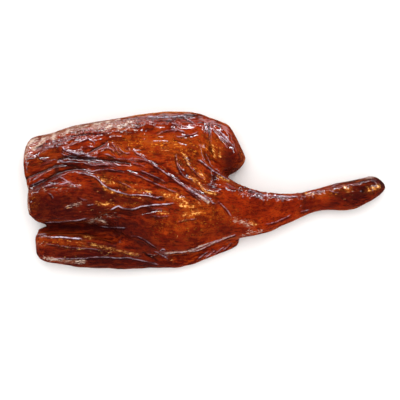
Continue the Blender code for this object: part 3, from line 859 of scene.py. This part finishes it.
def roast_skin():
    """Lacquered roast skin: mahogany, amber, pale fat, char, painted crease shade and highlights."""
    material = bpy.data.materials.new("roast_skin")
    material.use_nodes = True
    material.node_tree.nodes.clear()
    start = Wire(material.node_tree)
    skin = skin_wires(start)
    roughness = 0.34 + 0.16 * skin.patches + 0.10 * skin.specks + 0.12 * skin.rubbed + 0.08 * skin.under
    shader = start.make("ShaderNodeBsdfPrincipled", None, {
        "Base Color": skin_colour(skin),
        "Roughness": roughness,
        "IOR": GLAZE_IOR,
        "Specular IOR Level": 0.0,
        "Normal": skin_relief(start, skin),
        "Coat Weight": (1 - skin.dull) * (1 - WALL_DULLNESS * skin.wall),
        "Coat Roughness": GLAZE_ROUGHNESS,
        "Coat IOR": GLAZE_IOR,
    })
    start.make("ShaderNodeOutputMaterial", None, {"Surface": shader})
    return material


def goose_leg():
    """The leg's skin as one fine mesh that stands for the frame's solid."""
    mesh = fine_skin()
    press_folds(mesh)
    triangles = 2 * len(mesh.polygons)
    mesh = with_modifiers(mesh, [("DECIMATE", {"ratio": min(1.0, SKIN_TRIANGLES / triangles)})])
    fit_to_frame(mesh)
    tint_skin(mesh)
    mesh.materials.clear()
    mesh.materials.append(roast_skin())
    mesh.shade_smooth()
    mesh.name = "goose_leg_skin"
    leg = bpy.data.objects.new("goose_leg_skin", mesh)
    bpy.context.scene.collection.objects.link(leg)
    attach(leg, "root")
    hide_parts("goose_leg")


def pale_floor():
    """A plain matt white surface, wide enough to fill every view."""
    bpy.ops.mesh.primitive_plane_add(size=12, location=(0, 0, leg_low.z - 0.2 * MM))
    floor = bpy.context.object
    floor.name = "floor"
    material = bpy.data.materials.new("white_board")
    material.use_nodes = True
    shader = material.node_tree.nodes["Principled BSDF"]
    shader.inputs["Base Color"].default_value = (0.86, 0.86, 0.86, 1)
    shader.inputs["Roughness"].default_value = 0.7
    shader.inputs["Specular IOR Level"].default_value = 0.2
    floor.data.materials.append(material)
    floor.visible_glossy = False


# The windows behind the leg, mirrored in its glaze: azimuth, share of the full power, and the power
# of the low window under it, if there is one.
WINDOWS = [(-62, 0.4, 1.0), (-22, 1.0, 1.2), (22, 1.0, 0.4), (62, 0.35, 0.0)]
SKY, COOL, DAYLIGHT = (0.78, 0.86, 1.0), (0.84, 0.91, 1.0), (0.84, 0.90, 1.0)
WARM = (1.0, 0.50, 0.16)

# The lamps: name, azimuth, elevation, distance and size (metres), power, colour, and whether the
# gloss mirrors it or else the matt skin is lit by it.
LAMPS = [
    ("warm_lamp", 20, 72, 1.3, (0.07, 0.07), 0.3, WARM, True),
    ("low_lamp", 185, 56, 1.3, (0.07, 0.07), 0.5, WARM, True),
    ("overhead", 0, 72, 1.8, (1.6, 1.6), 26, (1.0, 0.97, 0.94), False),
    ("front_fill", 180, 40, 1.8, (1.6, 1.0), 7, (1.0, 0.96, 0.92), False),
]

# The room's light: what the gloss mirrors, overhead and low down, what the matt skin gets, and the
# backdrop that the camera sees.
ROOM_WHITE = (0.95, 0.95, 0.95, 1)
ROOM_GLOSS, LOW_GLOSS, ROOM_FILL, BACKDROP = 0.03, 0.04, 0.85, 0.95


def softbox(name, azimuth, elevation, distance, size, power, colour, on_gloss):
    """A flat light that faces the leg and is seen either in its gloss or in its matt shading.

    Azimuth 0 stands on the back side and 90 at the hock.
    """
    a, e = math.radians(azimuth), math.radians(elevation)
    away = Vector((math.sin(a) * math.cos(e), math.cos(a) * math.cos(e), math.sin(e)))
    light = bpy.data.lights.new(name, "AREA")
    light.shape, light.size, light.size_y = "RECTANGLE", size[0], size[1]
    light.energy, light.color = power, colour
    lamp = bpy.data.objects.new(name, light)
    lamp.location = away * distance
    lamp.rotation_euler = away.to_track_quat("Z", "Y").to_euler()
    lamp.visible_camera = False
    lamp.visible_glossy, lamp.visible_diffuse = on_gloss, not on_gloss
    bpy.context.scene.collection.objects.link(lamp)
    return lamp


def studio():
    """Soft light from overhead, and what the gloss mirrors: cool windows, two warm lamps, a board."""
    for azimuth, share, low in WINDOWS:
        softbox("window", azimuth, 28, 1.35, (0.96, 0.40), 0.5 * share, SKY, True)
        softbox("strip", azimuth, 26, 1.3, (0.94, 0.12), 12 * share, COOL, True)
        if low:
            softbox("low_window", azimuth, 6, 1.4, (1.0, 0.40), low, DAYLIGHT, True)
    for lamp in LAMPS:
        softbox(*lamp)
    board = softbox("board", 0, 0, 0.45, (1.4, 0.7), 9, (0.90, 0.92, 1.0), True)
    board.location.z = leg_low.z + 4 * MM
    board.rotation_euler = (math.pi, 0, 0)


def room():
    """The pale room around the leg, nearly dark in the gloss."""
    world = bpy.data.worlds.new("room")
    bpy.context.scene.world = world
    world.use_nodes = True
    world.node_tree.nodes.clear()
    start = Wire(world.node_tree)

    def wall(strength):
        return start.make("ShaderNodeBackground", None, {"Color": ROOM_WHITE, "Strength": strength})

    heading = start.make("ShaderNodeTexCoord")
    height = start.make("ShaderNodeSeparateXYZ", None, {0: heading}, output=2)
    low_down = (0 - height).clear_of(0.0, 0.1)
    to_camera = start.make("ShaderNodeLightPath")
    to_matt = start.make("ShaderNodeLightPath", output=2)
    gloss = wall(ROOM_GLOSS + LOW_GLOSS * low_down)
    lit = start.make("ShaderNodeMixShader", None, {0: to_matt, 1: gloss, 2: wall(ROOM_FILL)})
    shown = start.make("ShaderNodeMixShader", None, {0: to_camera, 1: lit, 2: wall(BACKDROP)})
    start.make("ShaderNodeOutputWorld", None, {"Surface": shown})


def camera():
    """Straight above, with the picture's top edge towards the back of the leg."""
    data = bpy.data.cameras.new("camera")
    data.lens, data.sensor_width = LENS, SENSOR
    level = OUTLINE_LEVEL * leg_high.z
    middle = place((PICTURE / 2, PICTURE / 2))
    obj = bpy.data.objects.new("camera", data)
    obj.location = (*middle, level + PICTURE * PIXEL * LENS / SENSOR)
    bpy.context.scene.collection.objects.link(obj)
    bpy.context.scene.camera = obj


goose_leg()
pale_floor()
studio()
room()
camera()
bpy.context.scene.view_settings.view_transform = "Standard"
